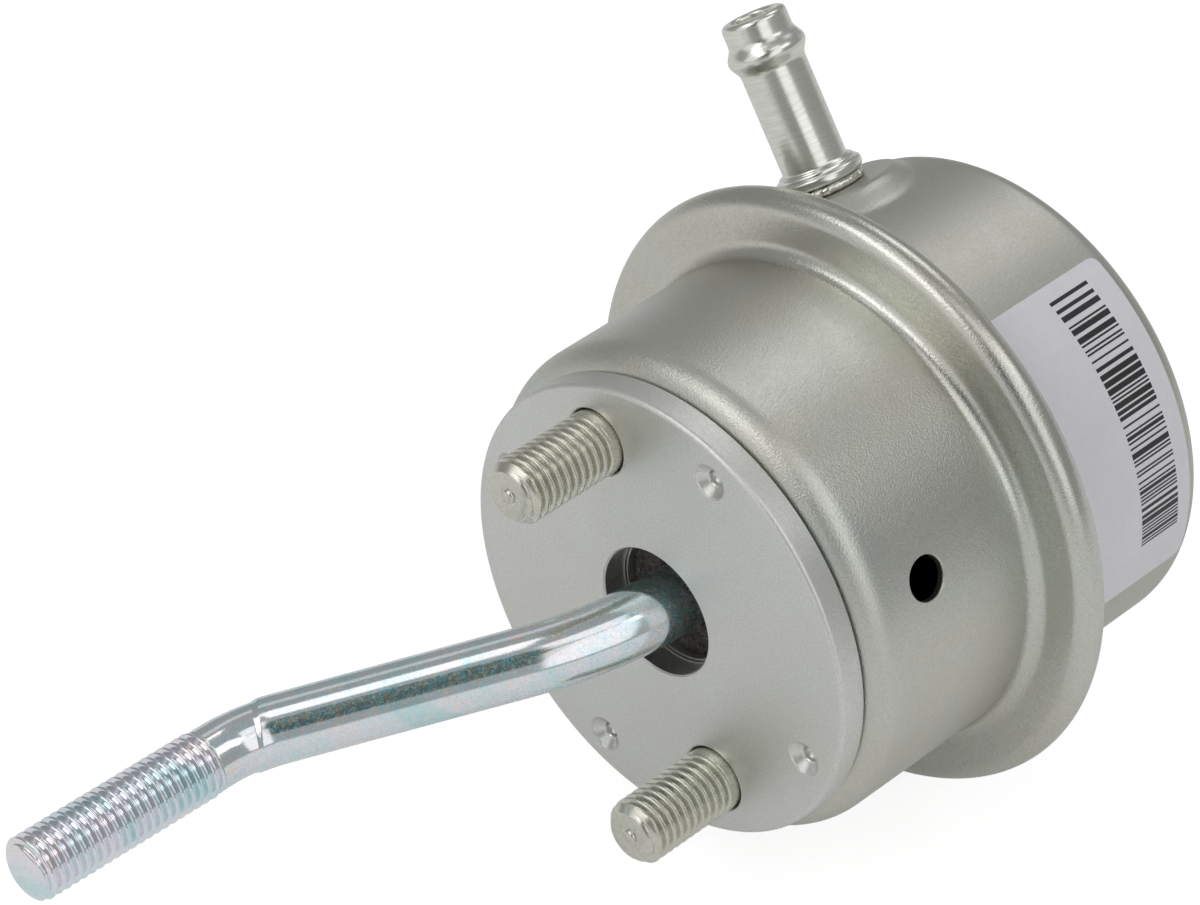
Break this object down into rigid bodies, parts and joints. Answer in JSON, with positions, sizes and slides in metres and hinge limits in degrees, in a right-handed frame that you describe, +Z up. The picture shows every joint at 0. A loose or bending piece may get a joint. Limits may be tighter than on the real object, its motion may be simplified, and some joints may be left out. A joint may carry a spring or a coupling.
{
  "type": "turbo actuator",
  "caption": "Round crimped sheet-metal can with a mounting plate and studs, a hose nipple and a bent, threaded rod that a spring pulls in and air pressure pushes out.",
  "frame": {"origin": "centre of the mounting plate's front face, on the can's axis", "axes": "-X along the can's axis towards the rod, +X towards the rear can's back, +Z up: the hose nipple leans 33.4 degrees from +Z towards +Y"},
  "size_m": [0.1041, 0.0602, 0.0671],
  "materials": {
    "front_can_zinc": "zinc plated, satin",
    "rear_can_zinc": "zinc plated, satin",
    "plate_zinc": "zinc plated, matt",
    "stud_zinc": "zinc plated, yellowish",
    "nipple_zinc": "zinc plated, bright",
    "weld_bead": "bright, rippled",
    "rod_zinc": "zinc plated, bright with an iridescent film",
    "pressed_steel": "plain sheet steel",
    "spring_steel": "oiled wire",
    "bush_carbon": "dark sintered carbon",
    "wiper_fibre": "pressed fibre, sooty",
    "diaphragm_rubber": "fabric reinforced rubber"
  },
  "bodies": {
    "housing": {"front_can": "front_can_zinc", "rear_can": "rear_can_zinc", "mounting_plate": "plate_zinc", "stud_upper": "stud_zinc", "stud_lower": "stud_zinc", "hose_nipple": "nipple_zinc", "nipple_weld": "weld_bead", "spring_seat": "pressed_steel", "guide_bush": "bush_carbon", "wiper_washer": "wiper_fibre", "return_spring": "spring_steel", "diaphragm": "diaphragm_rubber"},
    "rod": {"actuator_rod": "rod_zinc", "rod_washer": "pressed_steel", "piston": "pressed_steel", "diaphragm_retainer": "pressed_steel"}
  },
  "joints": [
    {"name": "rod_slide", "type": "slide", "parent": "housing", "child": "rod", "axis": [-1, 0, 0], "range_m": [0, 0.012], "stiffness_N_per_m": 6600, "springref_m": -0.018, "deforming": ["return_spring", "diaphragm"]}
  ]
}
